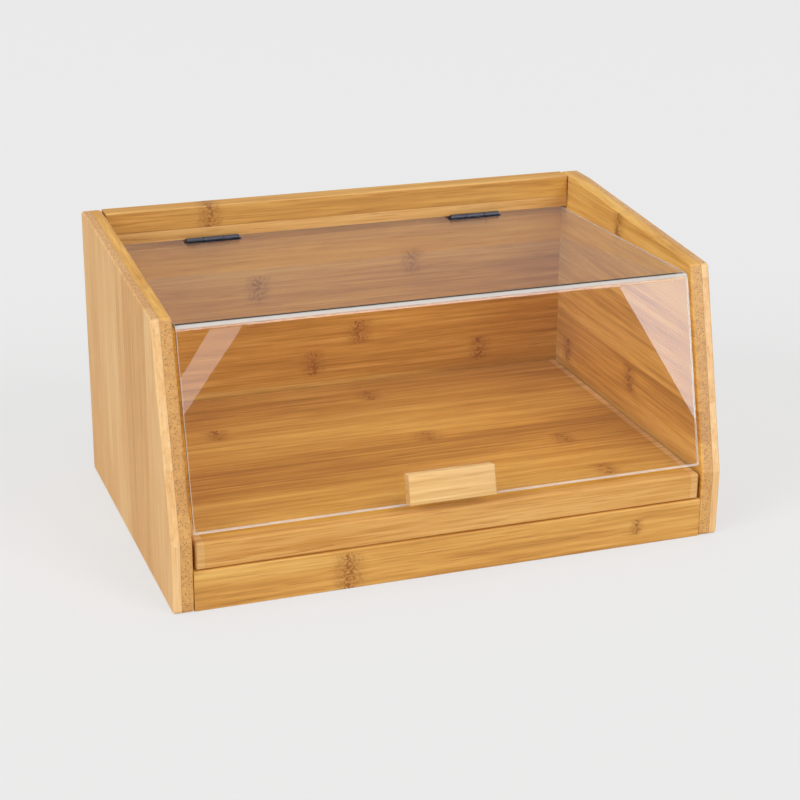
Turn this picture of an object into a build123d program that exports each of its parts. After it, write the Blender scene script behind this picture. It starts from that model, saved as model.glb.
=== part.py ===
"""Bread box: two sides, a back, a base, rails, a pull-out board and a bent clear lid on two small hinges.

Millimetres, +Z up, +X to the right as one faces the box, -Y to its front. The origin is under the middle
of the whole box, knob included, on the surface that it stands on.
"""
import os
from math import atan2, cos, degrees, radians, sin, tan

from build123d import *

os.makedirs("parts", exist_ok=True)

# The box as a whole. Distances called "from front" are measured back from the sides' front edge.
box_width = 400
box_depth = 262.5
box_height = 205.4
side_thickness = 14
inner_half = box_width / 2 - side_thickness
edge_round = 1.2
edge_ease = 1

# The sides' outline, seen from the side.
top_flat_from_front = 234.7
corner_from_front = 37.8
corner_height = 192.6
front_bend_height = 48.9
corner_round = 3

# The boards between the sides.
back_thickness = 5
base_top = 29
base_thickness = 10
base_housing = 4
front_rail_depth = 14
front_rail_set_back = 0.4
front_rail_end_gap = 0.4
top_rail_depth = 16
top_rail_height = 16.3
top_rail_end_gap = 1.2
hinge_board_end_gap = 0.8
hinge_board_depth = top_rail_depth - back_thickness
hinge_board_thickness = 8

# The pull-out board.
board_thickness = 19.3
board_lift = 0.3
board_end_gap = 2.2
board_end_width = 6
board_set_back = 1.5
board_back_gap = 2
board_round = 2
tongue_length = 3
tongue_thickness = 6
tongue_stop = 16

# The dowels.
dowel_radius = 3
dowel_half_length = 10
dowel_hole_spare = 0.5
front_rail_dowel_height = 12

# The lid.
sheet = 3
lid_side_gap = 2.2
lid_recess = 1.35
lid_over_board = 6
lid_tilt = 2.1
lid_bend_radius = 5.5
lid_back_gap = 1.2

# The hinges.
hinge_x = 105.5
leaf_length = 40
leaf_thickness = 0.8
leaf_gap = 0.2
knuckle_radius = 2.1
outer_knuckle = 12
knuckle_gap = 0.4
pin_radius = 1
pin_clearance = 0.05
leaf_notch_gap = 0.35
slot_gap = 0.7
slot_end_gap = 1.75
hinge_screw_x = 13
hinge_screw_from_axis = 7.6
hinge_screw_radius = 1
hinge_screw_head = 1.8
hinge_screw_length = 6.6
lid_screw_length = 3.3

# The knob.
knob_width = 63
knob_height = 21.3
knob_thickness = 8.6
knob_round = 1.4
knob_ease = 0.9
knob_x = -5.6
knob_over_edge = 0.8
knob_screw_x = 16
knob_screw_radius = 1.5
knob_screw_hole = 1.7
knob_screw_depth = 6
knob_screw_head = 2.9
knob_screw_head_height = 1.8

# Where things come to lie, as a result.
front_lean = degrees(atan2(corner_from_front, corner_height - front_bend_height))
board_bottom = base_top + board_lift
board_top = board_bottom + board_thickness
board_half = inner_half - board_end_gap
lid_half = inner_half - lid_side_gap
lid_bottom = board_top + lid_over_board
leaf_drop = leaf_thickness + leaf_gap / 2
rail_face_from_front = box_depth - top_rail_depth
hinge_board_top = box_height - top_rail_height
axis_from_front = rail_face_from_front - knuckle_radius - 0.1
axis_height = hinge_board_top - hinge_board_thickness - leaf_drop
back_face_from_front = box_depth - back_thickness
leaf_width = back_face_from_front - lid_back_gap - axis_from_front

# The knob's front lower edge is what reaches furthest forward, and it sets where the middle lies.
lid_bottom_from_front = lid_recess + (lid_bottom - front_bend_height) * tan(radians(front_lean))
knob_foot_from_front = lid_bottom_from_front + knob_over_edge * sin(radians(front_lean))
knob_reach = knob_thickness * cos(radians(front_lean)) - knob_foot_from_front
front_y = -(box_depth - knob_reach) / 2


def at(from_front, height):
    """A point of a side view, as plane coordinates."""
    return (front_y + from_front, height)


def upright(edges, direction=Axis.Z):
    """The straight edges that run along an axis."""
    return edges.filter_by(direction)


# The frame of the hinges and the lid's flat top: X along the pins, Z away from the sheet, -Y to the front.
hinge_plane = Plane(
    origin=(0, *at(axis_from_front, axis_height)),
    x_dir=(1, 0, 0),
    z_dir=(0, sin(radians(lid_tilt)), cos(radians(lid_tilt))),
)
lid_front_out = Vector(0, -cos(radians(front_lean)), sin(radians(front_lean)))
lid_front_up = Vector(0, sin(radians(front_lean)), cos(radians(front_lean)))
lid_foot = Vector(0, *at(lid_bottom_from_front, lid_bottom))
knob_plane = Plane(
    origin=lid_foot + lid_front_up * (knob_over_edge + knob_height / 2) + Vector(knob_x, 0, 0),
    x_dir=(1, 0, 0),
    z_dir=lid_front_out,
)

# Dowels, as points of the side view: one in each end of the rails.
front_rail_dowels = [at((front_rail_set_back + front_rail_depth) / 2, front_rail_dowel_height)]
top_rail_dowels = [at(box_depth - top_rail_depth / 2, box_height - top_rail_height / 2)]


def rods(points, from_x, length):
    """Round rods of the dowels' size along X, at points of the side view."""
    with BuildPart() as rod_set:
        with BuildSketch(Plane.YZ.offset(from_x)):
            with Locations(points):
                Circle(dowel_radius)
        extrude(amount=length)
    return rod_set.part


def dowels(points, end_x):
    """Dowels that lie half in a board's end and half in the side, at both ends."""
    length = 2 * dowel_half_length
    return rods(points, end_x - dowel_half_length, length) + rods(points, -end_x - dowel_half_length, length)


def dowel_holes(points, end_x):
    """The blind holes for the dowels in both ends of a board."""
    depth = dowel_half_length + dowel_hole_spare
    return rods(points, end_x, -depth) + rods(points, -end_x, depth)


# The right side, with a stopped groove that takes the end of the base, and its mirror image.
with BuildPart() as side_right:
    with BuildSketch(Plane.YZ.offset(inner_half)):
        with BuildLine():
            Polyline(
                at(0, 0),
                at(box_depth, 0),
                at(box_depth, box_height),
                at(top_flat_from_front, box_height),
                at(corner_from_front, corner_height),
                at(0, front_bend_height),
                close=True,
            )
        make_face()
    extrude(amount=side_thickness)
    for corner in (at(0, 0), at(box_depth, 0), at(box_depth, box_height), at(corner_from_front, corner_height)):
        fillet(side_right.edges().filter_by(Axis.X).sort_by_distance((inner_half, *corner))[0], corner_round)
    chamfer(side_right.faces().filter_by(Axis.X).edges(), edge_ease)
    for points in (front_rail_dowels, top_rail_dowels):
        add(rods(points, inner_half, dowel_half_length + dowel_hole_spare), mode=Mode.SUBTRACT)
    with Locations((inner_half, *at(front_rail_depth, base_top))):
        Box(
            base_housing,
            back_face_from_front - front_rail_depth,
            base_thickness,
            align=(Align.MIN, Align.MIN, Align.MAX),
            mode=Mode.SUBTRACT,
        )

with BuildPart() as side_left:
    add(mirror(side_right.part, about=Plane.YZ, mode=Mode.PRIVATE))

# The fixed boards between the sides.
with BuildPart() as back_panel:
    with Locations((0, *at(back_face_from_front, 0))):
        Box(2 * inner_half, back_thickness, hinge_board_top, align=(Align.CENTER, Align.MIN, Align.MIN))

with BuildPart() as base_panel:
    with Locations((0, *at(front_rail_depth, base_top))):
        Box(
            2 * (inner_half + base_housing),
            back_face_from_front - front_rail_depth,
            base_thickness,
            align=(Align.CENTER, Align.MIN, Align.MAX),
        )

with BuildPart() as front_rail:
    with Locations((0, *at(front_rail_set_back, 0))):
        Box(
            2 * (inner_half - front_rail_end_gap),
            front_rail_depth - front_rail_set_back,
            base_top,
            align=(Align.CENTER, Align.MIN, Align.MIN),
        )
    fillet(upright(front_rail.edges(), Axis.X).group_by(Axis.Y)[0], edge_round)
    add(dowel_holes(front_rail_dowels, inner_half), mode=Mode.SUBTRACT)

with BuildPart() as top_rail:
    with Locations((0, *at(box_depth, box_height))):
        Box(
            2 * (inner_half - top_rail_end_gap),
            top_rail_depth,
            top_rail_height,
            align=(Align.CENTER, Align.MAX, Align.MAX),
        )
    fillet(upright(top_rail.edges(), Axis.X).group_by(Axis.Z)[-1], edge_round)
    fillet(upright(top_rail.edges(), Axis.X).group_by(Axis.Z)[0].sort_by(Axis.Y)[0], edge_round / 2)
    add(dowel_holes(top_rail_dowels, inner_half), mode=Mode.SUBTRACT)

# The hinge board's underside is planed parallel to the lid.
with BuildPart() as hinge_board:
    with Locations((0, *at(rail_face_from_front, hinge_board_top))):
        Box(
            2 * (inner_half - hinge_board_end_gap),
            hinge_board_depth,
            2 * top_rail_height,
            align=(Align.CENTER, Align.MIN, Align.MAX),
        )
    split(bisect_by=hinge_plane.offset(leaf_drop), keep=Keep.TOP)
    fillet(upright(hinge_board.edges(), Axis.X).group_by(Axis.Z)[-1].sort_by(Axis.Y)[0], edge_round / 2)

# The dowels.
dowels_front_rail = dowels(front_rail_dowels, inner_half)
dowels_top_rail = dowels(top_rail_dowels, inner_half)

# The pull-out board is rounded as a whole and then parted into its middle and its two end strips.
with BuildPart() as board_blank:
    with Locations((0, *at(board_set_back, board_bottom))):
        Box(
            2 * board_half,
            back_face_from_front - board_back_gap - board_set_back,
            board_thickness,
            align=(Align.CENTER, Align.MIN, Align.MIN),
        )
    fillet(upright(board_blank.edges(), Axis.X), board_round)
    chamfer(board_blank.faces().filter_by(Axis.X).edges(), edge_ease)

board_middle = board_bottom + board_thickness / 2
board_span = back_face_from_front - board_back_gap - board_set_back
core_half = board_half - board_end_width

with BuildPart() as tongues:
    with Locations((0, front_y + board_set_back + board_span / 2, board_middle)):
        Box(2 * (core_half + tongue_length), board_span - 2 * tongue_stop, tongue_thickness)

with BuildPart() as board_core:
    add(board_blank.part)
    with Locations((0, 0, board_middle)):
        Box(2 * core_half, 2 * box_depth, 2 * board_thickness, mode=Mode.INTERSECT)
    add(tongues.part)

with BuildPart() as board_end_right:
    add(board_blank.part)
    split(bisect_by=Plane.YZ.offset(core_half), keep=Keep.TOP)
    add(tongues.part, mode=Mode.SUBTRACT)

with BuildPart() as board_end_left:
    add(mirror(board_end_right.part, about=Plane.YZ, mode=Mode.PRIVATE))

# The lid's side view, from the back over the bend to the foot.
lid_top_start = hinge_plane.offset(-leaf_drop).location.position
lid_back_y = front_y + back_face_from_front - lid_back_gap
lid_slope = tan(radians(lid_tilt))
lid_back = Vector(0, lid_back_y, lid_top_start.Z - (lid_back_y - lid_top_start.Y) * lid_slope)
# The flat top and the sloping front meet where both lines have the same height.
bend_rise = lid_top_start.Z - lid_bottom + (lid_top_start.Y - lid_foot.Y) * lid_slope
bend_height = bend_rise / (1 + tan(radians(front_lean)) * lid_slope)
lid_bend = lid_foot + lid_front_up * (bend_height / cos(radians(front_lean)))
top_down = -hinge_plane.z_dir
front_in = -lid_front_out
lid_bend_inner = lid_bend + (top_down + front_in) * (sheet / (1 + top_down.dot(front_in)))
lid_outline = [
    lid_back,
    lid_bend,
    lid_foot,
    lid_foot + front_in * sheet,
    lid_bend_inner,
    lid_back + top_down * sheet,
]

with BuildPart() as lid:
    with BuildSketch(Plane.YZ) as lid_profile:
        with BuildLine():
            Polyline([(point.Y, point.Z) for point in lid_outline], close=True)
        make_face()
        for point, radius in ((lid_bend, lid_bend_radius), (lid_bend_inner, lid_bend_radius - sheet)):
            fillet(lid_profile.vertices().sort_by_distance((point.Y, point.Z, 0))[0], radius)
    extrude(amount=lid_half, both=True)
    with BuildSketch(hinge_plane):
        with Locations((-hinge_x, 0), (hinge_x, 0)):
            SlotOverall(leaf_length + 2 * slot_end_gap, 2 * (knuckle_radius + slot_gap))
    extrude(amount=-2 * leaf_drop - 2 * sheet, mode=Mode.SUBTRACT)
    with BuildSketch(knob_plane):
        with Locations((-knob_screw_x, 0), (knob_screw_x, 0)):
            Circle(knob_screw_hole)
    extrude(amount=-2 * sheet, mode=Mode.SUBTRACT)

# The hinges, in their own frame: the pin runs along X, the leaves lie behind it, one above the other.
knuckle_inner_end = leaf_length / 2 - outer_knuckle
outer_knuckle_x = leaf_length / 2 - outer_knuckle / 2
inner_knuckle = 2 * (knuckle_inner_end - knuckle_gap)
screw_points = [(-hinge_screw_x, hinge_screw_from_axis), (hinge_screw_x, hinge_screw_from_axis)]


def turned(part, hinge):
    """A part made in the hinge's own frame, taken to its place: hinge is -1 for the left one, 1 for the right."""
    return hinge_plane.location * Pos(hinge * hinge_x, 0, 0) * part


def tube(x, length, bore):
    """One knuckle of a hinge, or a rod where bore is 0."""
    with BuildPart() as knuckle:
        with BuildSketch(Plane.YZ.offset(x - length / 2)):
            Circle(knuckle_radius)
            if bore:
                Circle(bore, mode=Mode.SUBTRACT)
        extrude(amount=length)
    return knuckle.part


def hinge_screw(length):
    """A countersunk screw, whose head lies on the plane and which points down. It also cuts its own hole."""
    with BuildPart() as screw:
        with BuildSketch(Plane.XZ):
            with BuildLine():
                Polyline(
                    (0, 0),
                    (hinge_screw_head, 0),
                    (hinge_screw_radius, hinge_screw_radius - hinge_screw_head),
                    (hinge_screw_radius, -length),
                    (0, -length),
                    close=True,
                )
            make_face()
        revolve(axis=Axis.Z)
    return screw.part


def placed(piece, flip=False):
    """Both of a leaf's screws, or the holes for them. Flipped ones go up from the upper leaf's underside."""
    height = leaf_gap / 2 if flip else -leaf_gap / 2
    half_turn = Rot(180, 0, 0) if flip else Rot(0, 0, 0)
    return [Pos(x, y, height) * half_turn * piece for x, y in screw_points]


with BuildPart() as upper_leaf:
    with Locations((0, 0, leaf_gap / 2)):
        Box(leaf_length, leaf_width, leaf_thickness, align=(Align.CENTER, Align.MIN, Align.MIN))
    Box(
        inner_knuckle + 2 * knuckle_gap,
        2 * (knuckle_radius + leaf_notch_gap),
        4 * knuckle_radius,
        mode=Mode.SUBTRACT,
    )
    for side in (-1, 1):
        add(tube(side * outer_knuckle_x, outer_knuckle, 0))
    with Locations(Rot(0, 90, 0)):
        Cylinder(pin_radius, 2 * leaf_length, mode=Mode.SUBTRACT)
    add(placed(hinge_screw(hinge_screw_length), flip=True), mode=Mode.SUBTRACT)

with BuildPart() as lower_leaf:
    with Locations((0, 0, -leaf_gap / 2)):
        Box(leaf_length, leaf_width, leaf_thickness, align=(Align.CENTER, Align.MIN, Align.MAX))
    for side in (-1, 1):
        with Locations((side * outer_knuckle_x, 0, 0)):
            Box(
                outer_knuckle + 2 * knuckle_gap,
                2 * (knuckle_radius + leaf_notch_gap),
                4 * knuckle_radius,
                mode=Mode.SUBTRACT,
            )
    add(tube(0, inner_knuckle, 0))
    with Locations(Rot(0, 90, 0)):
        Cylinder(pin_radius + pin_clearance, 2 * leaf_length, mode=Mode.SUBTRACT)
    add(placed(hinge_screw(lid_screw_length)), mode=Mode.SUBTRACT)

with BuildPart() as pin:
    with Locations(Rot(0, 90, 0)):
        Cylinder(pin_radius, leaf_length)

upper_screws = Compound(placed(hinge_screw(hinge_screw_length), flip=True))
lower_screws = Compound(placed(hinge_screw(lid_screw_length)))
for hinge in (-1, 1):
    for cutter in placed(hinge_screw(hinge_screw_length), flip=True):
        hinge_board.part -= turned(cutter, hinge)
    for cutter in placed(hinge_screw(lid_screw_length)):
        lid.part -= turned(cutter, hinge)

# The knob and its screws, in the frame that lies on the outside of the lid's front.
with BuildPart() as knob:
    with BuildSketch(knob_plane):
        RectangleRounded(knob_width, knob_height, knob_round)
    extrude(amount=knob_thickness)
    chamfer(knob.faces().sort_by(Axis(knob_plane.origin, knob_plane.z_dir))[-1].edges(), knob_ease)
    with BuildSketch(knob_plane):
        with Locations((-knob_screw_x, 0), (knob_screw_x, 0)):
            Circle(knob_screw_radius)
    extrude(amount=knob_screw_depth, mode=Mode.SUBTRACT)

with BuildPart() as knob_screws:
    with BuildSketch(knob_plane.offset(-sheet)):
        with Locations((-knob_screw_x, 0), (knob_screw_x, 0)):
            Circle(knob_screw_radius)
    extrude(amount=sheet + knob_screw_depth)
    with BuildSketch(knob_plane.offset(-sheet)):
        with Locations((-knob_screw_x, 0), (knob_screw_x, 0)):
            Circle(knob_screw_head)
    extrude(amount=-knob_screw_head_height)

# Every piece goes to its own file. Like fasteners share one.
pieces = {
    "side_left": side_left.part,
    "side_right": side_right.part,
    "back_panel": back_panel.part,
    "base_panel": base_panel.part,
    "front_rail": front_rail.part,
    "top_rail": top_rail.part,
    "hinge_board": hinge_board.part,
    "dowels_front_rail": dowels_front_rail,
    "dowels_top_rail": dowels_top_rail,
    "board_core": board_core.part,
    "board_end_left": board_end_left.part,
    "board_end_right": board_end_right.part,
    "lid": lid.part,
    "knob": knob.part,
    "knob_screws": knob_screws.part,
    "hinge_board_screws": Compound([turned(upper_screws, hinge) for hinge in (-1, 1)]),
    "lid_screws": Compound([turned(lower_screws, hinge) for hinge in (-1, 1)]),
}
for hinge, side in ((-1, "left"), (1, "right")):
    pieces[f"hinge_{side}_leaf_fixed"] = turned(upper_leaf.part, hinge)
    pieces[f"hinge_{side}_leaf_lid"] = turned(lower_leaf.part, hinge)
    pieces[f"hinge_{side}_pin"] = turned(pin.part, hinge)

for label, piece in pieces.items():
    piece.label = label
    export_step(piece, f"parts/{label}.step")
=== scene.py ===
import math

import bmesh
import bpy
from mathutils import Euler, Matrix, Vector


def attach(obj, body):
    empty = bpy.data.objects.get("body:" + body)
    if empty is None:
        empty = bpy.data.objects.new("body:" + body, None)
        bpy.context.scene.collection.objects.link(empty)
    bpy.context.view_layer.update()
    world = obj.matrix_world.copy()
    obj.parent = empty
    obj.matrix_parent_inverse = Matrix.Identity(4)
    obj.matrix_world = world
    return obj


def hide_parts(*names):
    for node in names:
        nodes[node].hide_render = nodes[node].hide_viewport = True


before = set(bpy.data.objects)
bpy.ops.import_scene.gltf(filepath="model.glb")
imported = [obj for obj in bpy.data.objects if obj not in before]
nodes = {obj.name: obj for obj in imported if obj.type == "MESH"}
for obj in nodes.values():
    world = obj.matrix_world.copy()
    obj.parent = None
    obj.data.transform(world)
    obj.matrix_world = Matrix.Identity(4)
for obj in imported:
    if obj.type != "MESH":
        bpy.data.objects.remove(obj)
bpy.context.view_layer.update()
print("frame loaded:", len(nodes), "nodes")


def showPiece(piece):
    bpy.context.scene.collection.objects.link(piece)
    return piece


def tone(red, green, blue):
    # a colour as a paint program shows it, 0 to 255, as the linear values that Blender works with
    channels = []
    for value in (red, green, blue):
        share = value / 255
        channels.append(share / 12.92 if share <= 0.04045 else ((share + 0.055) / 1.055) ** 2.4)
    return (*channels, 1)


def addNode(tree, kind, **settings):
    node = tree.nodes.new(kind)
    for name, value in settings.items():
        setattr(node, name, value)
    return node


def feed(tree, socket, value):
    # a socket takes a link or a plain value
    if isinstance(value, bpy.types.NodeSocket):
        tree.links.new(value, socket)
    else:
        socket.default_value = value


def calc(tree, operation, *values, clamp=False):
    node = addNode(tree, "ShaderNodeMath", operation=operation, use_clamp=clamp)
    for socket, value in zip(node.inputs, values):
        feed(tree, socket, value)
    return node.outputs[0]


def blendColour(tree, factor, first, second, kind="MIX"):
    # the Mix node keeps its colour sockets behind those for numbers and vectors
    node = addNode(tree, "ShaderNodeMix", data_type="RGBA", blend_type=kind)
    feed(tree, node.inputs[0], factor)
    feed(tree, node.inputs[6], first)
    feed(tree, node.inputs[7], second)
    return node.outputs[2]


def plus(tree, first, second):
    return calc(tree, "ADD", first, second)


def minus(tree, first, second):
    return calc(tree, "SUBTRACT", first, second)


def times(tree, first, second):
    return calc(tree, "MULTIPLY", first, second)


def unsigned(tree, value):
    return calc(tree, "ABSOLUTE", value)


def flatDistance(tree, first, second):
    squares = [calc(tree, "POWER", value, 2.0) for value in (first, second)]
    return calc(tree, "SQRT", plus(tree, *squares))


def softStep(tree, value, start, end):
    node = addNode(tree, "ShaderNodeMapRange", interpolation_type="SMOOTHSTEP")
    feed(tree, node.inputs["Value"], value)
    feed(tree, node.inputs["From Min"], start)
    feed(tree, node.inputs["From Max"], end)
    return node.outputs["Result"]


def joinVector(tree, first, second, third):
    node = addNode(tree, "ShaderNodeCombineXYZ")
    for socket, value in zip(node.inputs, (first, second, third)):
        feed(tree, socket, value)
    return node.outputs[0]


def splitVector(tree, vector):
    node = addNode(tree, "ShaderNodeSeparateXYZ")
    feed(tree, node.inputs[0], vector)
    return node.outputs[0], node.outputs[1], node.outputs[2]


def noise(tree, vector, scale=1.0, detail=2.0, roughness=0.5):
    node = addNode(tree, "ShaderNodeTexNoise")
    feed(tree, node.inputs["Vector"], vector)
    node.inputs["Scale"].default_value = scale
    node.inputs["Detail"].default_value = detail
    node.inputs["Roughness"].default_value = roughness
    return node.outputs["Fac"]


def blendShaders(tree, factor, first, second):
    node = addNode(tree, "ShaderNodeMixShader")
    feed(tree, node.inputs[0], factor)
    feed(tree, node.inputs[1], first)
    feed(tree, node.inputs[2], second)
    return node.outputs[0]


def showShader(tree, shaderOutput):
    tree.links.new(shaderOutput, tree.nodes["Material Output"].inputs["Surface"])


def setSockets(shader, values):
    for name, value in values.items():
        shader.inputs[name].default_value = value


def makeGroup(name, inputs, outputs):
    tree = bpy.data.node_groups.new(name, "ShaderNodeTree")
    for direction, sockets in (("INPUT", inputs), ("OUTPUT", outputs)):
        for socketName, kind in sockets.items():
            tree.interface.new_socket(
                name=socketName, in_out=direction, socket_type=f"NodeSocket{kind}"
            )
    given = tree.nodes.new("NodeGroupInput").outputs
    return tree, given, tree.nodes.new("NodeGroupOutput").inputs


def placeGroup(tree, group, **values):
    node = addNode(tree, "ShaderNodeGroup", node_tree=group)
    for name, value in values.items():
        feed(tree, node.inputs[name], value)
    return node.outputs


grainLook = {
    # noises: their scale along and across the grain, and their share of the tone
    "fibres": {"along": 18, "across": 620, "detail": 3, "roughness": 0.6, "share": 1.1},
    "streaks": {"along": 6, "across": 240, "detail": 3, "roughness": 0.6, "share": 1.5},
    "clouds": {"along": 7, "across": 26, "detail": 2, "roughness": 0.5, "share": 0.9},
    "dashes": {"along": 30, "across": 900, "detail": 1, "roughness": 0.5, "share": 0.34},
    "dashLimits": (0.6, 0.72),
    # strips draw their tone and their place in the noise from their own number
    "rowStep": 1.37,
    "rowShift": 40.0,
    "seamWidth": 0.0005,
    "seamShare": 0.3,
    # cut fibres at the end grain
    "endColour": tone(206, 154, 102),
    "endShare": 0.5,
    "dotScale": 620,
    "dotLimits": (0.4, 0.14),
    "dotColour": tone(128, 84, 48),
    "dotShare": 0.7,
    "dotDepth": 0.5,
    "fibreHeight": 0.6,
    "roughness": 0.36,
    "roughnessSwing": 0.16,
}


# the grain vector holds metres along the grain, across the strips and through the board
def buildBambooGroup():
    look = grainLook
    inputs = {
        "Grain": "Vector",
        "StripWidth": "Float",
        "Seed": "Float",
        "Deep": "Color",
        "Middle": "Color",
        "Pale": "Color",
        "StripContrast": "Float",
        "FibreContrast": "Float",
        "EndGrain": "Float",
    }
    outputs = {"Color": "Color", "Height": "Float", "Roughness": "Float"}
    tree, given, result = makeGroup("bambooStrips", inputs, outputs)
    along, across, through = splitVector(tree, given["Grain"])
    place = calc(tree, "DIVIDE", across, given["StripWidth"])
    place = plus(tree, place, given["Seed"])
    row = calc(tree, "FLOOR", place)
    rowNoise = addNode(tree, "ShaderNodeTexWhiteNoise", noise_dimensions="1D")
    feed(tree, rowNoise.inputs["W"], times(tree, row, look["rowStep"]))
    rowTone = rowNoise.outputs["Value"]
    rowShift = times(tree, rowTone, look["rowShift"])

    def stretched(name):
        layer = look[name]
        shifted = plus(tree, times(tree, along, layer["along"]), rowShift)
        squeezed = [times(tree, value, layer["across"]) for value in (across, through)]
        vector = joinVector(tree, shifted, *squeezed)
        return noise(tree, vector, 1.0, layer["detail"], layer["roughness"])

    # the tone swings about a half: below it runs from deep to middle, above from middle to pale
    layers = {name: stretched(name) for name in ("fibres", "streaks", "clouds")}
    value = times(tree, minus(tree, rowTone, 0.5), given["StripContrast"])
    value = plus(tree, value, 0.5)
    for name, layer in layers.items():
        swing = times(tree, minus(tree, layer, 0.5), look[name]["share"])
        value = plus(tree, value, times(tree, swing, given["FibreContrast"]))
    lower = calc(tree, "MULTIPLY", value, 2.0, clamp=True)
    upper = calc(tree, "MULTIPLY_ADD", value, 2.0, -1.0, clamp=True)
    colour = blendColour(tree, lower, given["Deep"], given["Middle"])
    colour = blendColour(tree, upper, colour, given["Pale"])
    # short dark vessels between the fibres
    dashes = softStep(tree, stretched("dashes"), *look["dashLimits"])
    dashes = times(tree, dashes, look["dashes"]["share"])
    colour = blendColour(tree, dashes, colour, given["Deep"], "MULTIPLY")
    # a thin glue line where two strips meet
    offset = unsigned(tree, minus(tree, calc(tree, "FRACT", place), 0.5))
    edge = times(tree, minus(tree, 0.5, offset), given["StripWidth"])
    seam = times(tree, softStep(tree, edge, look["seamWidth"], 0.0), look["seamShare"])
    colour = blendColour(tree, seam, colour, given["Deep"])
    # end grain shows the fibres as dots
    dots = addNode(tree, "ShaderNodeTexVoronoi")
    feed(tree, dots.inputs["Vector"], given["Grain"])
    dots.inputs["Scale"].default_value = look["dotScale"]
    specks = softStep(tree, dots.outputs["Distance"], *look["dotLimits"])
    specks = times(tree, specks, given["EndGrain"])
    endShare = times(tree, given["EndGrain"], look["endShare"])
    colour = blendColour(tree, endShare, colour, look["endColour"])
    dotShare = times(tree, specks, look["dotShare"])
    feed(tree, result["Color"], blendColour(tree, dotShare, colour, look["dotColour"]))
    fibres = layers["fibres"]
    height = minus(tree, times(tree, fibres, look["fibreHeight"]), seam)
    height = minus(tree, height, times(tree, specks, look["dotDepth"]))
    feed(tree, result["Height"], height)
    roughness = calc(tree, "MULTIPLY_ADD", fibres, look["roughnessSwing"], look["roughness"])
    feed(tree, result["Roughness"], roughness)
    return tree


jointLook = {
    "wobbleScale": 180,
    "wobble": 0.008,
    # limits of the soft edges, as shares of the joint's width and length
    "sideLimits": (0.56, 0.38),
    "coreLimits": (0.3, 0.05),
    "haloLimits": (1.1, 0.1),
    "speckScale": 460,
    "speckRoughness": 0.6,
    "speckLimits": (0.44, 0.6),
    "haloShare": 0.3,
    "haloSpecks": 0.42,
    "coreSpecks": 0.7,
}


def buildJointGroup():
    # where a culm's joint crosses a strip: a darker patch of tangled fibres
    look = jointLook
    names = ("Along", "Across", "Length", "Width")
    inputs = {"Grain": "Vector", **{name: "Float" for name in names}}
    tree, given, result = makeGroup("culmJoint", inputs, {"Mask": "Float"})
    along, across, through = splitVector(tree, given["Grain"])
    wobble = minus(tree, noise(tree, given["Grain"], look["wobbleScale"], 2), 0.5)
    awayAlong = minus(tree, along, given["Along"])
    awayAlong = plus(tree, awayAlong, times(tree, wobble, look["wobble"]))
    awayAlong = unsigned(tree, calc(tree, "DIVIDE", awayAlong, given["Length"]))
    awayAcross = unsigned(tree, minus(tree, across, given["Across"]))
    awayAcross = calc(tree, "DIVIDE", awayAcross, given["Width"])
    inside = softStep(tree, awayAcross, *look["sideLimits"])
    core = softStep(tree, awayAlong, *look["coreLimits"])
    halo = softStep(tree, awayAlong, *look["haloLimits"])
    specks = noise(tree, given["Grain"], look["speckScale"], 2, look["speckRoughness"])
    specks = softStep(tree, specks, *look["speckLimits"])
    mask = times(tree, halo, look["haloShare"])
    for part, share in ((halo, look["haloSpecks"]), (core, look["coreSpecks"])):
        mask = plus(tree, mask, times(tree, times(tree, part, specks), share))
    feed(tree, result["Mask"], calc(tree, "MULTIPLY", mask, inside, clamp=True))
    return tree


bambooGroup = buildBambooGroup()
jointGroup = buildJointGroup()
print("bamboo groups built")


def startMaterial(name):
    material = bpy.data.materials.new(name)
    material.use_nodes = True
    tree = material.node_tree
    return material, tree, tree.nodes["Principled BSDF"]


def objectPlace(tree):
    node = addNode(tree, "ShaderNodeTexCoord")
    return node.outputs["Object"], node.outputs["Normal"]


woodFinish = {
    # how far a face must turn to the grain's ends, or upward, to count as end grain or as a top
    # that takes the painted shade
    "endLimits": (0.6, 0.9),
    "topLimits": (0.8, 0.95),
    "relief": 0.25,
    "depth": 0.0002,
    "coat": 0.3,
    "coatShare": 0.3,
}


def grainVector(tree, place, order):
    axes = dict(zip("XYZ", splitVector(tree, place)))
    return joinVector(tree, *[axes[letter] for letter in order])


def endGrainShare(tree, normal, order):
    axes = dict(zip("XYZ", splitVector(tree, normal)))
    return softStep(tree, unsigned(tree, axes[order[0]]), *woodFinish["endLimits"])


def bamboo(tree, place, normal, order, look):
    # one layer of bamboo, with its joints
    grain = grainVector(tree, place, order)
    names = ("stripWidth", "seed", "deep", "middle", "pale", "stripContrast", "fibreContrast")
    layer = placeGroup(
        tree,
        bambooGroup,
        Grain=grain,
        EndGrain=endGrainShare(tree, normal, order),
        **{name[0].upper() + name[1:]: look[name] for name in names},
    )
    colour = layer["Color"]
    for joint in look["joints"]:
        sockets = dict(zip(("Along", "Across", "Length", "Width"), joint))
        mask = placeGroup(tree, jointGroup, Grain=grain, **sockets)["Mask"]
        colour = blendColour(tree, mask, colour, look["jointColour"])
    return colour, layer["Height"], layer["Roughness"]


def finishWood(tree, shader, colour, height, roughness, gloss):
    feed(tree, shader.inputs["Base Color"], colour)
    feed(tree, shader.inputs["Roughness"], roughness)
    relief = addNode(tree, "ShaderNodeBump")
    setSockets(relief, {"Strength": woodFinish["relief"], "Distance": woodFinish["depth"]})
    feed(tree, relief.inputs["Height"], height)
    tree.links.new(relief.outputs[0], shader.inputs["Normal"])
    coat = {"Coat Weight": gloss * woodFinish["coatShare"], "Coat Roughness": woodFinish["coat"]}
    setSockets(shader, {"Specular IOR Level": gloss, **coat})


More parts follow.
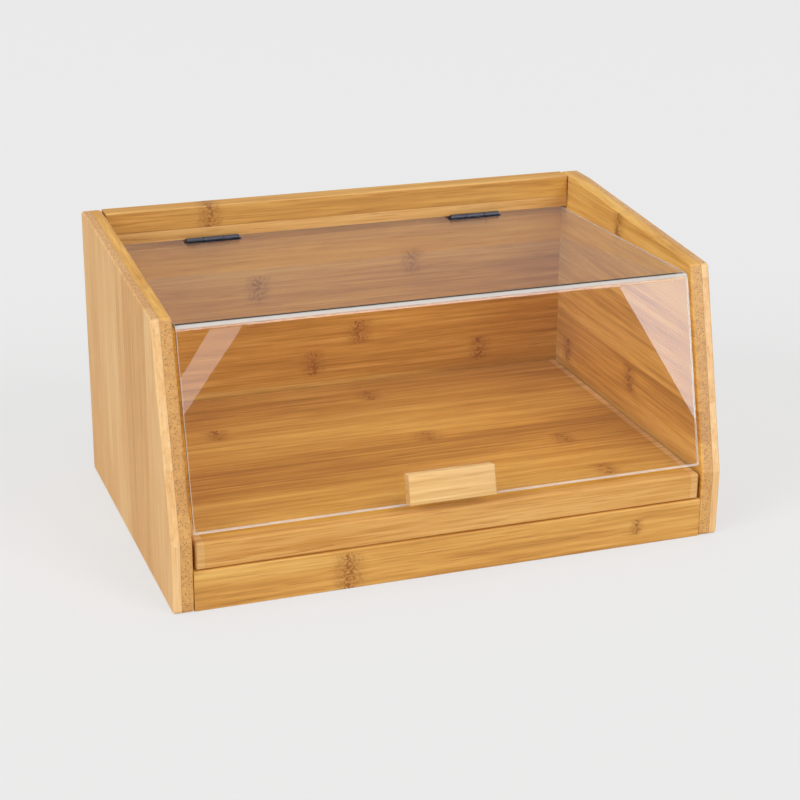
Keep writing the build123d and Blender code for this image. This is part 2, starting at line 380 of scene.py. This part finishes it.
def boardMaterial(name, order, look):
    material, tree, shader = startMaterial(name)
    place, normal = objectPlace(tree)
    colour, height, roughness = bamboo(tree, place, normal, order, look)
    if "lidShadeTint" in look:
        # upward faces behind the lid's foot get a painted shade
        isTop = softStep(tree, splitVector(tree, normal)[2], *woodFinish["topLimits"])
        isBehind = softStep(tree, splitVector(tree, place)[1], *look["lidShadeFrom"])
        lidShadeMask = times(tree, isTop, isBehind)
        colour = blendColour(tree, lidShadeMask, colour, look["lidShadeTint"], "MULTIPLY")
    finishWood(tree, shader, colour, height, roughness, look["gloss"])
    return material


def wear(material, *names):
    for name in names:
        piece = nodes[name]
        piece.data.materials.clear()
        piece.data.materials.append(material)


plainBamboo = {
    "stripWidth": 0.021,
    "seed": 0.3,
    "deep": tone(178, 119, 47),
    "middle": tone(211, 151, 66),
    "pale": tone(231, 179, 91),
    "stripContrast": 0.5,
    "fibreContrast": 1.0,
    "jointColour": tone(160, 100, 42),
    "gloss": 0.4,
    "joints": [],
}

# joints are listed as metres along the grain, across it, and their length and width
backPanel = dict(
    plainBamboo,
    gloss=0.08,
    seed=0.55,
    joints=[
        (-0.0675, 0.1314, 0.013, 0.021),
        (0.0587, 0.1412, 0.012, 0.021),
        (0.0146, 0.0894, 0.014, 0.021),
        (-0.0239, 0.067, 0.012, 0.021),
        (0.1173, 0.0645, 0.012, 0.021),
    ],
)
wear(boardMaterial("bambooBack", "XZY", backPanel), "back_panel")

# the board's top behind the lid's foot is painted darker: a painted shade for the light that the
# lid holds back
boardCore = dict(
    plainBamboo,
    gloss=0.06,
    lidShadeTint=(0.94, 0.88, 0.55, 1),
    lidShadeFrom=(-0.1215, -0.1175),
    seed=0.1,
    deep=tone(176, 118, 56),
    middle=tone(208, 150, 78),
    pale=tone(228, 178, 108),
    joints=[
        (0.0107, 0.0938, 0.013, 0.021),
        (-0.1226, 0.0508, 0.013, 0.021),
        (0.0249, 0.0016, 0.014, 0.021),
        (0.1199, -0.0344, 0.013, 0.021),
        (0.1252, -0.0967, 0.012, 0.021),
    ],
)
wear(boardMaterial("bambooBoard", "XYZ", boardCore), "board_core")

boardEnds = dict(
    plainBamboo,
    gloss=0.15,
    seed=0.1,
    deep=tone(188, 132, 70),
    middle=tone(214, 160, 94),
    pale=tone(232, 188, 124),
)
wear(boardMaterial("bambooBoardEnds", "XYZ", boardEnds), "board_end_left", "board_end_right")

basePanel = dict(plainBamboo, seed=0.2)
wear(boardMaterial("bambooBase", "XYZ", basePanel), "base_panel")

rails = dict(
    plainBamboo,
    deep=tone(184, 125, 54),
    middle=tone(216, 157, 74),
    pale=tone(235, 185, 100),
    stripWidth=0.031,
    seed=0.4,
    joints=[
        (-0.1067, 0.1983, 0.012, 0.02),
        (-0.0787, 0.012, 0.014, 0.03),
        (0.1359, 0.0144, 0.006, 0.012),
    ],
)
wear(boardMaterial("bambooRails", "XZY", rails), "front_rail", "top_rail")

hingeBoard = dict(
    plainBamboo,
    stripWidth=0.04,
    seed=0.6,
    deep=tone(196, 140, 74),
    middle=tone(226, 172, 98),
    pale=tone(240, 194, 126),
)
wear(boardMaterial("bambooHingeBoard", "XYZ", hingeBoard), "hinge_board")

dowelLook = dict(plainBamboo, stripWidth=0.05)
wear(boardMaterial("dowelWood", "XYZ", dowelLook), "dowels_front_rail", "dowels_top_rail")

# the sides are two layers: upright grain outside, grain from front to back inside
sideLook = {
    "plyFace": 0.1942,
    "glueWidth": 0.0004,
    "glueShare": 0.35,
    "glueColour": tone(120, 78, 40),
    "outer": dict(
        plainBamboo,
        stripWidth=0.0225,
        seed=0.15,
        deep=tone(218, 164, 102),
        middle=tone(237, 186, 123),
        pale=tone(246, 205, 146),
    ),
    "inner": dict(
        plainBamboo,
        seed=0.65,
        deep=tone(188, 129, 56),
        middle=tone(222, 162, 77),
        pale=tone(241, 190, 102),
        joints=[
            (-0.0054, 0.0775, 0.013, 0.021),
            (0.1062, 0.0626, 0.012, 0.021),
            (0.0259, 0.1892, 0.012, 0.021),
        ],
    ),
}


def sideMaterial(name):
    material, tree, shader = startMaterial(name)
    place, normal = objectPlace(tree)
    fromMiddle = unsigned(tree, splitVector(tree, place)[0])
    isOuter = calc(tree, "GREATER_THAN", fromMiddle, sideLook["plyFace"])
    outer, height, roughness = bamboo(tree, place, normal, "ZYX", sideLook["outer"])
    inner = bamboo(tree, place, normal, "YZX", sideLook["inner"])[0]
    colour = blendColour(tree, isOuter, inner, outer)
    glue = unsigned(tree, minus(tree, fromMiddle, sideLook["plyFace"]))
    glue = softStep(tree, glue, sideLook["glueWidth"], 0.0)
    glue = times(tree, glue, sideLook["glueShare"])
    colour = blendColour(tree, glue, colour, sideLook["glueColour"])
    finishWood(tree, shader, colour, height, roughness, sideLook["outer"]["gloss"])
    return material


wear(sideMaterial("bambooSides"), "side_left", "side_right")
print("bamboo pieces dressed")

lidShape = {
    # y and z of the outer line's ends, and of the corner where its two straights would meet
    "back": (0.12768, 0.17886),
    "bend": (-0.09097, 0.18688),
    "foot": (-0.12577, 0.0546),
    "half": 0.1838,
    "sheet": 0.003,
    "radius": 0.0055,
    "steps": 20,
    "polish": 0.00025,
    "polishSteps": 2,
    "smoothAngle": 30,
    "polishAngle": 40,
    "pin": (0.11568, 0.1802),
    "slotPlaces": (-0.1055, 0.1055),
    "slotHalf": 0.02175,
    "slotRadius": 0.0028,
    "slotSteps": 48,
    "cutDepth": 0.02,
}
sheetLook = {
    "clear": {
        "Base Color": (0.985, 0.985, 0.99, 1),
        "Transmission Weight": 1,
        "IOR": 1.49,
        "Roughness": 0.0,
        "Specular IOR Level": 0.1,
    },
    "lightPassed": (0.67, 0.67, 0.67, 1),
    "paintedLightRoughness": 0.25,
    # a painted highlight on the bend and the cut edges: colour, shares, and where each starts and
    # is full
    "paintedHighlightColour": tone(246, 240, 234),
    "brightBend": 0.54,
    "bendLimits": (0.0034, 0.0018),
    "brightEdge": 0.4,
    "endLimits": (-0.0007, -0.0002),
    "footLimits": (0.0008, 0.0002),
    # the rim of the hinge slots, with a painted shade
    "slotShadeColour": tone(50, 50, 56),
    "slotShadeLimits": (0.0007, 0.0003),
}


def stepBeyond(tree, value, edge, limits):
    # a soft step whose two ends lie at these distances from an edge
    return softStep(tree, value, *[edge + limit for limit in limits])


def paintedHighlightShare(tree):
    # how much of the sheet's clearness gives way to a painted highlight at the bend and at the cut
    # edges
    x, y, z = splitVector(tree, objectPlace(tree)[0])
    bendY, bendZ = lidShape["bend"]
    away = flatDistance(tree, minus(tree, y, bendY), minus(tree, z, bendZ))
    bend = softStep(tree, away, *sheetLook["bendLimits"])
    bend = times(tree, bend, sheetLook["brightBend"])
    ends = stepBeyond(tree, unsigned(tree, x), lidShape["half"], sheetLook["endLimits"])
    low = stepBeyond(tree, z, lidShape["foot"][1], sheetLook["footLimits"])
    edges = times(tree, calc(tree, "MAXIMUM", ends, low), sheetLook["brightEdge"])
    return calc(tree, "MAXIMUM", bend, edges)


def paintedSlotShade(tree):
    # the rim of the hinge slots gets a painted shade, for the dark that the sheet's cut wall shows
    # where it faces the hinge
    x, y = splitVector(tree, objectPlace(tree)[0])[:2]
    radius = lidShape["slotRadius"]
    along = unsigned(tree, minus(tree, unsigned(tree, x), lidShape["slotPlaces"][1]))
    beyond = minus(tree, along, lidShape["slotHalf"] - radius)
    beyond = calc(tree, "MAXIMUM", beyond, 0.0)
    away = flatDistance(tree, beyond, minus(tree, y, lidShape["pin"][0]))
    return stepBeyond(tree, away, radius, sheetLook["slotShadeLimits"])


def sheetMaterial():
    material, tree, shader = startMaterial("clearSheet")
    setSockets(shader, sheetLook["clear"])
    # a rough shader that paints the highlight at the bend and edges and the shade at the slot rims
    paintedLight = addNode(tree, "ShaderNodeBsdfPrincipled")
    dark = paintedSlotShade(tree)
    colour = blendColour(tree, dark, sheetLook["paintedHighlightColour"], sheetLook["slotShadeColour"])
    feed(tree, paintedLight.inputs["Base Color"], colour)
    paintedLight.inputs["Roughness"].default_value = sheetLook["paintedLightRoughness"]
    paintedLightShare = calc(tree, "MAXIMUM", paintedHighlightShare(tree), dark)
    sheet = blendShaders(tree, paintedLightShare, shader.outputs[0], paintedLight.outputs[0])
    # light falls through the sheet, dimmed
    path = addNode(tree, "ShaderNodeLightPath")
    passing = addNode(tree, "ShaderNodeBsdfTransparent")
    passing.inputs[0].default_value = sheetLook["lightPassed"]
    isShadow = path.outputs["Is Shadow Ray"]
    showShader(tree, blendShaders(tree, isShadow, sheet, passing.outputs[0]))
    return material


topLine = Vector(lidShape["bend"]) - Vector(lidShape["back"])
frontLine = Vector(lidShape["foot"]) - Vector(lidShape["bend"])
lidTilt = math.atan2(topLine.y, -topLine.x)
frontLean = math.atan2(-frontLine.x, -frontLine.y)
bendTurn = topLine.angle(frontLine)


def sideways(line, distance):
    # a step off the outer line, into the sheet
    return Vector((-line.y, line.x)).normalized() * distance


def pieceFrom(bm, name, material, body, smoothAngle):
    bmesh.ops.recalc_face_normals(bm, faces=bm.faces)
    mesh = bpy.data.meshes.new(name)
    bm.to_mesh(mesh)
    bm.free()
    mesh.shade_smooth()
    mesh.set_sharp_from_angle(angle=math.radians(smoothAngle))
    mesh.materials.append(material)
    piece = showPiece(bpy.data.objects.new(name, mesh))
    if body:
        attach(piece, body)
    return piece


def pullOut(bm, way):
    # pulls a flat outline out into a solid
    grown = bmesh.ops.extrude_face_region(bm, geom=bm.faces[:])["geom"]
    moved = [item for item in grown if isinstance(item, bmesh.types.BMVert)]
    bmesh.ops.translate(bm, verts=moved, vec=way)


def pillCutter(x):
    shape = lidShape
    bm = bmesh.new()
    straight = shape["slotHalf"] - shape["slotRadius"]
    steps, depth = shape["slotSteps"], shape["cutDepth"]
    bmesh.ops.create_circle(bm, cap_ends=True, segments=steps, radius=shape["slotRadius"])
    # half a step, so that no corner lies on the line that parts the two ends
    halfStep = Matrix.Rotation(math.pi / steps, 3, "Z")
    bmesh.ops.rotate(bm, verts=bm.verts, matrix=halfStep)
    for vert in bm.verts:
        vert.co.x += math.copysign(straight, vert.co.x)
    pullOut(bm, (0, 0, depth))
    place = Matrix.Translation((x, *shape["pin"])) @ Matrix.Rotation(-lidTilt, 4, "X")
    centred = Matrix.Translation((0, 0, -depth / 2))
    bmesh.ops.transform(bm, matrix=place @ centred, verts=bm.verts)
    return pieceFrom(bm, "pillCutter", clearMaterial, None, shape["smoothAngle"])


def bentSheet():
    # the sheet's section with its two sharp corners rounded, pulled out from side to side
    shape = lidShape
    back, bend, foot = (Vector(shape[key]) for key in ("back", "bend", "foot"))
    intoTop, intoFront = (sideways(line, shape["sheet"]) for line in (topLine, frontLine))
    shared = intoTop.normalized().dot(intoFront.normalized())
    innerBend = bend + (intoTop + intoFront) / (1 + shared)
    outline = [back, bend, foot, foot + intoFront, innerBend, back + intoTop]
    bm = bmesh.new()
    verts = [bm.verts.new((-shape["half"], point.x, point.y)) for point in outline]
    bm.faces.new(verts)
    outer, inner = shape["radius"], shape["radius"] - shape["sheet"]
    for vert, radius in ((verts[1], outer), (verts[4], inner)):
        bmesh.ops.bevel(
            bm,
            geom=[vert],
            offset=radius * math.tan(bendTurn / 2),
            offset_type="OFFSET",
            segments=shape["steps"],
            profile=0.5,
            affect="VERTICES",
            material=-1,
        )
    pullOut(bm, (2 * shape["half"], 0, 0))
    return pieceFrom(bm, "bentLid", clearMaterial, None, shape["smoothAngle"])


def makeLid():
    shape = lidShape
    lid = bentSheet()
    cutters = [pillCutter(x) for x in shape["slotPlaces"]]
    for cutter in cutters:
        cut = lid.modifiers.new("slot", "BOOLEAN")
        cut.operation = "DIFFERENCE"
        cut.solver = "EXACT"
        cut.object = cutter
    cutLid = lid.evaluated_get(bpy.context.evaluated_depsgraph_get())
    lid.data = bpy.data.meshes.new_from_object(cutLid)
    lid.modifiers.clear()
    for cutter in cutters:
        bpy.data.objects.remove(cutter)
    lid.data.set_sharp_from_angle(angle=math.radians(shape["smoothAngle"]))
    polish = lid.modifiers.new("polish", "BEVEL")
    polish.width = shape["polish"]
    polish.segments = shape["polishSteps"]
    polish.limit_method = "ANGLE"
    polish.angle_limit = math.radians(shape["polishAngle"])
    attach(lid, "lid")
    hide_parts("lid")
    print("lid made:", len(lid.data.polygons), "faces")


clearMaterial = sheetMaterial()
makeLid()

knobShape = {
    "size": (0.063, 0.0213, 0.0086),
    "centre": (-0.0056, -0.122856, 0.065673),
    "round": 0.0013,
    "roundSteps": 5,
    "smoothAngle": 60,
}
knobLook = dict(
    plainBamboo,
    stripWidth=0.012,
    seed=0.9,
    deep=tone(212, 160, 92),
    middle=tone(233, 186, 117),
    pale=tone(245, 208, 146),
)


def makeKnob():
    shape = knobShape
    bm = bmesh.new()
    bmesh.ops.create_cube(bm, size=1)
    bmesh.ops.scale(bm, verts=bm.verts, vec=shape["size"])
    bmesh.ops.translate(bm, verts=bm.verts, vec=(0, 0, shape["size"][2] / 2))
    # all edges but those on the sheet
    outer = [edge for edge in bm.edges if max(vert.co.z for vert in edge.verts) > shape["round"]]
    bmesh.ops.bevel(
        bm,
        geom=outer,
        offset=shape["round"],
        segments=shape["roundSteps"],
        profile=0.5,
        affect="EDGES",
        material=-1,
    )
    turn = Matrix.Rotation(math.pi / 2 - frontLean, 4, "X")
    place = Matrix.Translation(shape["centre"]) @ turn
    bmesh.ops.transform(bm, matrix=place, verts=bm.verts)
    material = boardMaterial("bambooKnob", "XZY", knobLook)
    knob = pieceFrom(bm, "knobBlock", material, "lid", shape["smoothAngle"])
    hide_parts("knob")
    print("knob made")


makeKnob()

# the sheet mirrors the pale room, not the wood around it
for name in ("top_rail", "dowels_top_rail", "hinge_board", "back_panel", "side_right"):
    nodes[name].visible_glossy = False


metals = {
    "patches": {"scale": 700, "detail": 3, "roughness": 0.6},
    "roughnessSwing": 0.2,
    "hingeMetal": {"base": tone(64, 64, 70), "worn": tone(96, 96, 104), "roughness": 0.35},
    "hingePin": {"base": tone(96, 96, 102), "worn": tone(130, 130, 136), "roughness": 0.35},
    "screwMetal": {"base": tone(160, 158, 154), "worn": tone(200, 198, 194), "roughness": 0.25},
}


def metalMaterial(name):
    metal = metals[name]
    material, tree, shader = startMaterial(name)
    shader.inputs["Metallic"].default_value = 1
    patches = noise(tree, objectPlace(tree)[0], **metals["patches"])
    colour = blendColour(tree, patches, metal["base"], metal["worn"])
    feed(tree, shader.inputs["Base Color"], colour)
    swing = metals["roughnessSwing"]
    roughness = calc(tree, "MULTIPLY_ADD", patches, swing, metal["roughness"])
    feed(tree, shader.inputs["Roughness"], roughness)
    return material


leaves = [f"hinge_{side}_leaf_{part}" for side in ("left", "right") for part in ("fixed", "lid")]
wear(metalMaterial("hingeMetal"), *leaves)
wear(metalMaterial("hingePin"), "hinge_left_pin", "hinge_right_pin")
wear(metalMaterial("screwMetal"), "hinge_board_screws", "lid_screws", "knob_screws")
print("sheet and metal dressed")

studio = {
    "floorSize": 12,
    "floor": {
        "Base Color": tone(236, 236, 236),
        "Roughness": 0.7,
        "Specular IOR Level": 0.2,
    },
    # the floor's even glow, its share as the eye sees it, and its strength in a mirror
    "floorGlow": tone(235, 235, 235),
    "floorCalm": 0.7,
    "floorInGloss": 0.22,
    # the world's strength as light, in a mirror, and as the eye sees it
    "worldStrength": 0.42,
    "worldInGloss": 0.22,
    "worldSeen": 0.8,
    "lamps": {
        "leftLamp": {"from": (-2.4, -0.9, 1.3), "spread": 30, "strength": 1.4},
        "frontLamp": {"from": (1.3, -2.2, 1.7), "spread": 28, "strength": 1.0},
        "topLamp": {"from": (0.1, 0.3, 2.4), "spread": 50, "strength": 0.62},
    },
    # pale cards that only show as reflections in the clear sheet
    "cards": {
        "rightCard": {
            "corners": [(0.995, -2, 0.78), (1.174, -2, 0.2), (1.6, -2, 0.2), (1.6, -2, 0.78)],
            "colour": (0.68, 0.83, 1, 1),
            "glow": 8.6,
        },
        "leftCard": {
            "corners": [(0.18, -2, 0.42), (0.227, -2, 0.42), (0.489, -2, 0.78), (0.424, -2, 0.78)],
            "colour": (0.8, 0.9, 1, 1),
            "glow": 4,
        },
        "backCard": {
            "corners": [(-2, 2, 0), (0.26, 2, 0), (1.84, 2, 1.2), (-2, 2, 1.2)],
            "colour": (1, 0.87, 0.77, 1),
            "glow": 0.37,
        },
        "topCard": {
            "corners": [(-0.4, 0.1, 2.3), (1.8, 0.1, 2.3), (1.8, 0.5, 2.3), (-0.4, 0.5, 2.3)],
            "colour": (1, 0.97, 0.94, 1),
            "glow": 5,
        },
    },
}


def rayKinds(tree):
    # rays that reach the eye straight or through the sheet, and rays that some mirror has turned
    path = addNode(tree, "ShaderNodeLightPath").outputs
    turned = calc(tree, "GREATER_THAN", path["Glossy Depth"], 0.5)
    through = path["Is Transmission Ray"]
    seen = calc(tree, "MAXIMUM", path["Is Camera Ray"], through)
    seen = calc(tree, "SUBTRACT", seen, turned, clamp=True)
    mirrored = calc(tree, "MAXIMUM", path["Is Glossy Ray"], through)
    return seen, times(tree, mirrored, turned)


def makeFloor():
    bpy.ops.mesh.primitive_plane_add(size=studio["floorSize"], location=(0, 0, 0))
    floor = bpy.context.object
    floor.name = "studioFloor"
    material, tree, shader = startMaterial("studioFloor")
    setSockets(shader, studio["floor"])
    seen, mirrored = rayKinds(tree)
    glows = []
    for strength in (1.0, studio["floorInGloss"]):
        glow = addNode(tree, "ShaderNodeEmission")
        setSockets(glow, {"Color": studio["floorGlow"], "Strength": strength})
        glows.append(glow.outputs[0])
    calm = times(tree, seen, studio["floorCalm"])
    plain = blendShaders(tree, calm, shader.outputs[0], glows[0])
    showShader(tree, blendShaders(tree, mirrored, plain, glows[1]))
    floor.data.materials.append(material)


def makeWorld():
    world = bpy.data.worlds.new("studioWorld")
    world.use_nodes = True
    tree = world.node_tree
    seen, mirrored = rayKinds(tree)
    plain = studio["worldStrength"]
    strength = plain
    for isRay, wanted in ((mirrored, studio["worldInGloss"]), (seen, studio["worldSeen"])):
        strength = plus(tree, times(tree, isRay, wanted - plain), strength)
    background = tree.nodes["Background"]
    background.inputs[0].default_value = (1, 1, 1, 1)
    feed(tree, background.inputs[1], strength)
    bpy.context.scene.world = world


makeFloor()
makeWorld()

for name, lamp in studio["lamps"].items():
    data = bpy.data.lights.new(name, "SUN")
    data.angle = math.radians(lamp["spread"])
    data.energy = lamp["strength"]
    light = bpy.data.objects.new(name, data)
    light.location = lamp["from"]
    light.rotation_euler = Vector(lamp["from"]).to_track_quat("Z", "Y").to_euler()
    showPiece(light)

for name, card in studio["cards"].items():
    bm = bmesh.new()
    bm.faces.new([bm.verts.new(corner) for corner in card["corners"]])
    mesh = bpy.data.meshes.new(name)
    bm.to_mesh(mesh)
    bm.free()
    piece = showPiece(bpy.data.objects.new(name, mesh))
    material, _, shader = startMaterial(name)
    glow = {"Emission Color": card["colour"], "Emission Strength": card["glow"]}
    setSockets(shader, {"Base Color": (0, 0, 0, 1), **glow})
    mesh.materials.append(material)
    for ray in ("camera", "diffuse", "transmission", "volume_scatter", "shadow"):
        setattr(piece, f"visible_{ray}", False)

view = {
    "place": (-0.4491, -1.2481, 0.5924),
    "turn": (68.897, -0.534, -19.708),
    "lens": 87.336,
    "sensor": 36,
    "clip": 0.01,
}
cameraData = bpy.data.cameras.new("photoCamera")
cameraData.lens = view["lens"]
cameraData.sensor_width = view["sensor"]
cameraData.clip_start = view["clip"]
camera = bpy.data.objects.new("photoCamera", cameraData)
camera.location = view["place"]
camera.rotation_euler = Euler([math.radians(angle) for angle in view["turn"]])
bpy.context.scene.camera = showPiece(camera)
bpy.context.scene.view_settings.view_transform = "Standard"
print("studio ready")
